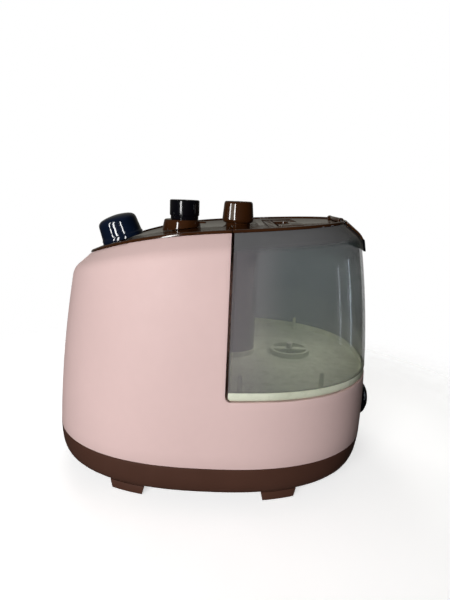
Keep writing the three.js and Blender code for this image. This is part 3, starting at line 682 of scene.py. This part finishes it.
BORDER_RINGS = (
    (12.8, 0.3), (12.8, 1.8), (13.0, 2.25), (13.6, 2.6), (15.4, 2.6), (16.0, 2.25), (16.2, 1.8), (16.2, 1.1),
    (16.6, 0.8),
)


def top_slab(inset, low, high):
    return loft("slab", [ring(inset, over_rim(low)), ring(inset, over_rim(high))])


panel = loft("panel", [ring(16, over_rim(-2.4)), ring(16, over_rim(0.3))] + [
    ring(i, over_rim(h)) for i, h in BORDER_RINGS
])
keep(panel, add(box((-FAR, SEAM_X), (-FAR, FAR), (-FAR, FAR)), column(COLUMN_R)))
cut(panel, rod(NOZZLE_X, 0, (200, 260), 14.2, 96), rod(POST_X, 0, (200, 260), 12.8, 96))
DIAL_Z = rim_height(DIAL_X) + 0.8
shaft_hole = [(0, -20), (4.7, -20), (4.7, 20), (0, 20)]
cut(panel, turned("tool", shaft_hole, 48, (DIAL_X, 0, DIAL_Z), "Z", DIAL_TILT))
soften(panel, 0.25)
finish_piece(panel, "gloss_top", "housing", "brown_gloss", "top_panel")

# ---------------------------------------------------------------- dial

KNOB = [
    (0, 14), (3.3, 14), (3.3, 0.6), (20.6, 0.6), (21, 1), (21, 4.2), (20.75, 4.7), (20.45, 5.1), (20.3, 6),
    (20.05, 9), (19.85, 12), (19.75, 12.6), (19.62, 15), (19.4, 18), (19.15, 19.4), (18.7, 20.7),
    (17.95, 21.8), (16.8, 22.85),
    (15.2, 23.75), (13, 24.5), (10.2, 25.15), (7, 25.65), (3.6, 26), (0, 26.2),
]
knob = turned("knob", KNOB, 192, (DIAL_X, 0, DIAL_Z), "Z", DIAL_TILT)
soften(knob, 0)
finish_piece(knob, "control_dial", "dial", "dial_navy", "dial_knob")

# ---------------------------------------------------------------- nozzles and collar

collar = turned("collar", [
    (0, 218), (19.4, 218), (19.4, 227), (19.15, 228.6), (18.1, 233.6), (17.8, 234.9), (17.2, 235.7),
    (16.3, 236), (0, 236),
], 128, (COLLAR_X, 0, 0))
add(collar, rounded_box((NOZZLE_X + 10, NOZZLE_X + 21.8), (-4, 4), (233, 234.8), 1.5))
cut(collar, rod(NOZZLE_X, 0, (200, 260), NECK_R + 0.6, 96))
cut(collar, loft("tool", [ring(0, over_rim(-60)), ring(0, over_rim(1.1))]))
soften(collar, 0.35)
finish_piece(collar, "spout_collar", "housing", "brown_gloss", "nozzle_collar")


def spout(name, x, outer, bore, bottom, top):
    """A round spout with a closed top, open over the half that faces the rear."""
    shape = turned(name, [(0, bottom)] + outer + [(0, top)], 128, (x, 0, 0))
    mouth = keep(rod(x, 0, (top - 5, top + 1), bore, 96), behind(x - 2))
    return soften(cut(shape, rod(x, 0, (bottom - 1, top - 2.2), bore, 96), mouth), 0.3)


front = spout("front", NOZZLE_X, [
    (NECK_R, 216), (NECK_R, 236.3), (13.9, 236.3), (13.9, 239.6), (14.1, 239.7), (14.8, 240.4), (14.8, 253.8),
    (14.65, 254.5), (14.25, 255), (13.6, 255.2),
], 10.8, 216, NOZZLE_TOP)
finish_piece(front, "black_spout", "front_spout", "black_gloss", "front_nozzle")

FOOT_Z = rim_height(POST_X) + 2.8
rear = spout("rear", POST_X, [
    (12.2, 216), (12.2, FOOT_Z), (13.8, FOOT_Z), (14.5, FOOT_Z + 0.5), (15.4, FOOT_Z + 1.7),
    (15.7, FOOT_Z + 2.7), (15.65, FOOT_Z + 3.6), (14.3, 253.2), (14.05, 254.4), (13.5, 255.3), (12.6, 255.8),
], 10.2, 216, 255.8)
finish_piece(rear, "brown_spout", "rear_spout", "brown_gloss", "rear_nozzle")

# ---------------------------------------------------------------- water tank, its bottom and its lid

TANK_FRONT = SEAM_X + 2.4
TANK_PEGS = ((20, -104), (92, -90), (20, 104), (92, 90))
tank = loft("tank", skin_rings(0, TANK_JOIN_Z + GAP, 6))
keep(tank, behind(TANK_FRONT))
cut(tank, column(COLUMN_R + 1.5))
room = loft("tool", skin_rings(TANK_WALL, TANK_JOIN_Z - 5, 5, 10, 8))
keep(room, behind(TANK_FRONT + TANK_WALL))
cut(room, column(COLUMN_R + 1.5 + TANK_WALL))
cut(tank, room, rounded_box((117, 170), (-30, 30), (229.6, 238), 2))
soften(tank, 0.9)
finish_piece(tank, "clear_tank", "tank", "tank_smoke", "water_tank")

TB = TANK_BOTTOM_Z
floor_pan = loft("floor_pan", [
    ring(2.6, level(TB)), ring(1.6, level(TB + 0.5)), ring(0.8, level(TB + 1.6)), ring(0.4, level(TB + 3)),
    ring(0.2, level(TANK_JOIN_Z)),
])
keep(floor_pan, across(corner_outline(TANK_FRONT, TB, SEAM_CORNER - 0.4), (-FAR, FAR)))
cut(floor_pan, column(COLUMN_R + 1.5))
hollow = loft("tool", [ring(3, level(TB + 2.5)), ring(3, level(TANK_JOIN_Z + 5))])
keep(hollow, behind(SEAM_X + 4))
cut(hollow, column(COLUMN_R + 4.5))
cut(floor_pan, hollow)
add(floor_pan, rod(VALVE_X, 0, (84, TANK_JOIN_Z - 0.1), 21, 96))
cut(floor_pan, rod(VALVE_X, 0, (80, 120), 18, 96))
add(floor_pan, box((VALVE_X - 19, VALVE_X + 19), (-4, 4), (101.5, TANK_JOIN_Z - 0.2)))
cut(floor_pan, rod(VALVE_X, 0, (80, 120), 3.4, 32))
peg = [(0, TB + 1), (2.6, TB + 1), (1.9, 113), (1.2, 113.8), (0, 113.9)]
for x, y in TANK_PEGS:
    add(floor_pan, turned("tool", peg, 24, (x, y, 0)))
soften(floor_pan, 0.4)
finish_piece(floor_pan, "tank_floor", "tank", "tank_pale", "tank_bottom")

SPRING_TOP = 100.9
SPRING_LENGTH = 9.3
SPRING_TURNS = 5.5
SPRING_R = 6
SPRING_WIRE_R = 0.5
END_PITCH = 1.06
SPRING_RISE = SPRING_LENGTH - 2 * SPRING_WIRE_R
MIDDLE_PITCH = (SPRING_RISE - 2 * END_PITCH) / (SPRING_TURNS - 2)


def coil_point(turns, angle):
    """A point on the wire after some turns: the first and the last turn are close wound."""
    rise = END_PITCH * min(turns, 1)
    rise += MIDDLE_PITCH * min(max(turns - 1, 0), SPRING_TURNS - 2)
    rise += END_PITCH * max(turns - SPRING_TURNS + 1, 0)
    r = SPRING_R + SPRING_WIRE_R * math.cos(angle)
    z = SPRING_TOP - SPRING_LENGTH + SPRING_WIRE_R + rise + SPRING_WIRE_R * math.sin(angle)
    return VALVE_X + r * math.cos(2 * math.pi * turns), r * math.sin(2 * math.pi * turns), z


around = [2 * math.pi * k / 12 for k in range(12)]
spring = loft("spring", [[coil_point(SPRING_TURNS * i / 220, a) for a in around] for i in range(221)])
soften(spring, 0)
finish_piece(spring, "coil_spring", "tank", "steel", "valve_spring")
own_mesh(spring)

HANDLE_Z = rim_height(HANDLE_X) - 1.7
FLAP_Z = rim_height(FLAP_X) + 2.4
lid = loft("lid", [ring(i, over_rim(h)) for i, h in BORDER_RINGS])
keep(lid, cut(behind(SEAM_X + 0.7), column(COLUMN_R + 1)))
lid_plug = top_slab(16, -2.4, 0.45)
keep(lid_plug, cut(behind(SEAM_X + 4.2), column(COLUMN_R + 4.4)))
tray = keep(top_slab(20, -5.9, 0.5), box((38.5, 75.5), (-56.5, 56.5), (0, FAR)))
pocket_z = rim_height(52) - 10
add(lid, lid_plug, tray, box((46, 66), (-17, 17), (pocket_z - 2, rim_height(50) - 3)))
island = rounded_box((51.5, 90), (-44.2, 44.2), (-1, FAR + 1), 2.5)
groove = cut(rounded_box((40.5, 73.5), (-51, 51), (0, FAR), 1), island)
cut(lid, keep(top_slab(20, -3.9, 30), groove))
cut(lid, rounded_box((48, 64), (-15, 15), (pocket_z, 260), 4))
cut(lid, keep(top_slab(0, 0.15, 30), box((FLAP_X + 0.8, 200), (-36.6, 36.6), (0, FAR))))
cut(lid, box((FLAP_X - 2.9, FLAP_X + 3.2), (-22.3, 22.3), (FLAP_Z - 2.9, 260)))
for ys in ((22.4, 27), (-27, -22.4)):
    web = box((FLAP_X - 2.4, FLAP_X + 2.4), (ys[0] + 0.02, ys[1] - 0.02), (FLAP_Z - 2.2, FLAP_Z))
    add(lid, add(pin(FLAP_X, FLAP_Z, ys, 2.4), web))
cut(lid, pin(HANDLE_X, HANDLE_Z, (-60, 60), 1.15, 24), pin(FLAP_X, FLAP_Z, (-30, 30), 1.4, 24))
soften(lid, 0.25)
finish_piece(lid, "gloss_lid", "tank", "brown_gloss", "tank_lid")

# ---------------------------------------------------------------- handle, flap, tab and drain cap

handle = rounded_box((42, 73), (-50.5, 50.5), (-1.5, 2.2), 4)
cut(handle, rounded_box((50, 80), (-45.5, 45.5), (-4, 4), 3), box((HANDLE_X, 80), (-60, 60), (-4, 4)))
for ys in ((45.52, 50.48), (-50.48, -45.52)):
    add(handle, pin(HANDLE_X, 0, ys, 1.8))
cut(handle, pin(HANDLE_X, 0, (-60, 60), 1.15, 24))
soften(handle, 0.6)
handle.data.transform(
    Matrix.Translation(Vector((HANDLE_X, 0, HANDLE_Z)) * MM)
    @ Matrix.Rotation(-math.atan(TOP_SLOPE), 4, "Y")
    @ Matrix.Translation(Vector((-HANDLE_X, 0, 0)) * MM)
)
finish_piece(handle, "fold_handle", "handle", "brown_gloss", "tank_handle")


def shoulder_band(inner, outer):
    return cut(loft("band", skin_rings(-outer, 190, 6)), loft("tool", skin_rings(-inner, 180, 6)))


flap = keep(shoulder_band(1, 2.5), rounded_box((FLAP_X + 2.8, 170), (-36, 36), (226, 260), 2))
tongue = box((FLAP_X, FLAP_X + 4), (-21.9, 21.9), (FLAP_Z - 1.6, FLAP_Z - 0.2))
add(flap, pin(FLAP_X, FLAP_Z, (-22, 22), 2.2), tongue)
cut(flap, pin(FLAP_X, FLAP_Z, (-30, 30), 1.4, 24))
soften(flap, 0.6)
finish_piece(flap, "filler_flap", "flap", "brown_gloss", "fill_flap")

tab = keep(shoulder_band(1, 3.3), box((110, 170), (-30, 30), (214.4, 225.6)))
soften(tab, 0.8, segments=3)
finish_piece(tab, "thumb_tab", "flap", "black_gloss", "flap_tab")


def cap_wave(angle, along):
    """Grip scallops round the drain cap's rim."""
    return -0.55 * max(0, math.cos(20 * angle)) ** 2 if drain_face + 0.5 < along < drain_face + 6.5 else 0


drain_tip = BODY_X + BODY_LENGTH / 2 + CAP_PROUD
drain_face = BODY_X + tapered(DRAIN_Z, REAR_TAPER) + 2 * GAP
cap = turned("cap", [
    (0, 128), (4.4, 128), (4.4, drain_face), (18.7, drain_face), (19, drain_face + 0.4),
    (19, drain_face + 0.9), (19, drain_face + 2.2), (18.6, drain_face + 3.8), (17.6, drain_face + 5.5),
    (16.2, drain_face + 7.1), (14.2, drain_face + 8.5), (11.4, drain_tip - 1.1), (8, drain_tip - 0.5),
    (4, drain_tip - 0.1), (0, drain_tip),
], 240, (0, 0, DRAIN_Z), "X", wave=cap_wave)
soften(cap, 0)
finish_piece(cap, "drain_knob", "drain", "black_gloss", "drain_cap")

# ---------------------------------------------------------------- floor, world and lights

WORLD_LEVEL = 0.21


def make_floor():
    floor = turned("floor", [(0, -4), (1400, -4), (1400, -0.2), (0, -0.2)], 96)
    look = Look("floor")
    look.colour(look.ramp(look.noise(14, 2), (0.3, (0.83, 0.83, 0.83)), (0.7, (0.87, 0.87, 0.87))))
    look.set(roughness=0.75, specular_ior_level=0.2)
    reach = look.node("ShaderNodeVectorMath", operation="LENGTH")
    look.link(look.where, reach.inputs[0])
    look.link(look.range(reach.outputs["Value"], 1.0, 0.0, 0.22, 0.5), look.shader.inputs["Alpha"])
    look.set(emission_color=(1, 1, 1, 1), emission_strength=0.62)
    floor.data.materials.append(look.material)
    floor.visible_diffuse = floor.visible_glossy = False


def make_world():
    """White behind the object; the light that it gives is dim, warm, and darker to both sides and below."""
    world = bpy.data.worlds.new("studio")
    bpy.context.scene.world = world
    world.use_nodes = True
    tree = world.node_tree
    tree.nodes.clear()
    out = tree.nodes.new("ShaderNodeOutputWorld")
    where = tree.nodes.new("ShaderNodeTexCoord").outputs["Generated"]
    parts = tree.nodes.new("ShaderNodeSeparateXYZ")
    tree.links.new(where, parts.inputs[0])

    def fade(socket, start, end, low, high):
        made = tree.nodes.new("ShaderNodeMapRange")
        for key, number in (("From Min", start), ("From Max", end), ("To Min", low), ("To Max", high)):
            made.inputs[key].default_value = number
        tree.links.new(socket, made.inputs["Value"])
        return made.outputs["Result"]

    strength = fade(parts.outputs["X"], 0.25, 0.8, WORLD_LEVEL, 0.05 * WORLD_LEVEL)
    for axis, start, end, low in (("X", -0.9, -0.3, 0.3), ("Y", -0.5, 0.1, 0.25), ("Z", -0.25, 0.02, 0.25)):
        product = tree.nodes.new("ShaderNodeMath")
        product.operation = "MULTIPLY"
        tree.links.new(strength, product.inputs[0])
        tree.links.new(fade(parts.outputs[axis], start, end, low, 1.0), product.inputs[1])
        strength = product.outputs[0]
    room, seen = tree.nodes.new("ShaderNodeBackground"), tree.nodes.new("ShaderNodeBackground")
    room.inputs["Color"].default_value = (1, 0.97, 0.86, 1)
    tree.links.new(strength, room.inputs["Strength"])
    seen.inputs["Color"].default_value = (1, 1, 1, 1)
    pick = tree.nodes.new("ShaderNodeMixShader")
    path = tree.nodes.new("ShaderNodeLightPath")
    tree.links.new(path.outputs["Is Camera Ray"], pick.inputs["Fac"])
    tree.links.new(room.outputs[0], pick.inputs[1])
    tree.links.new(seen.outputs[0], pick.inputs[2])
    tree.links.new(pick.outputs[0], out.inputs["Surface"])


def area(
    name, place, aim, width, height, power, color=(1, 1, 1), spread=180, gloss=True, matt=True, only=None,
):
    """A lamp that lights matt surfaces, shows in glossy ones, or both. only is the one piece it reaches."""
    data = bpy.data.lights.new(name, "AREA")
    data.shape, data.size, data.size_y = "RECTANGLE", width, height
    data.energy, data.color, data.spread = power, color, math.radians(spread)
    light = bpy.data.objects.new(name, data)
    light.location = place
    light.visible_glossy, light.visible_diffuse = gloss, matt
    light.rotation_euler = (Vector(place) - Vector(aim)).to_track_quat("Z", "Y").to_euler()
    bpy.context.scene.collection.objects.link(light)
    if only:
        light.light_linking.receiver_collection = bpy.data.collections.new(name)
        light.light_linking.receiver_collection.objects.link(only)


make_floor()
make_world()
area("key", (-0.47, -1.26, 0.4), (0, 0, 0.1), 0.8, 0.7, 16.8, (1, 0.985, 0.99), gloss=False)
POSTS, DIAL = (0, 0, 0.25), (-0.1, 0, 0.23)
PANE_COLOR = (1, 0.97, 0.8)
area("window_near", (-0.30, -0.62, 0.31), POSTS, 0.09, 0.42, 1.35, spread=120, matt=False)
area("window_far", (-0.62, -0.30, 0.33), POSTS, 0.1, 0.36, 1.1, spread=120, matt=False, only=rear)
area("window_pane", (-0.48, -0.48, 0.33), POSTS, 0.34, 0.36, 0.28, PANE_COLOR, 120, matt=False, only=rear)
area("dial_left", (-0.536, -0.483, 0.33), DIAL, 0.06, 0.34, 0.75, spread=120, matt=False, only=knob)
area("dial_right", (0.139, -0.604, 0.33), DIAL, 0.06, 0.34, 0.75, spread=120, matt=False, only=knob)
area("back_fill", (-0.5, 1.25, 0.7), (0, 0, 0.12), 0.9, 0.9, 10, gloss=False)
area("side_near", (1.0, 0.12, 0.1), (0.13, -0.05, 0.15), 0.02, 0.33, 0.1, (0.75, 0.87, 1), 120, matt=False)
area("side_far", (1.0, -0.17, 0.12), (0.13, -0.05, 0.15), 0.015, 0.3, 0.07, (0.85, 0.92, 1), 120, matt=False)
area("tank_glow", (0.085, 0, 0.2), (0.085, 0, 0), 0.07, 0.12, 0.15, (1, 0.97, 0.88), gloss=False)
bpy.context.scene.view_settings.view_transform = "Standard"
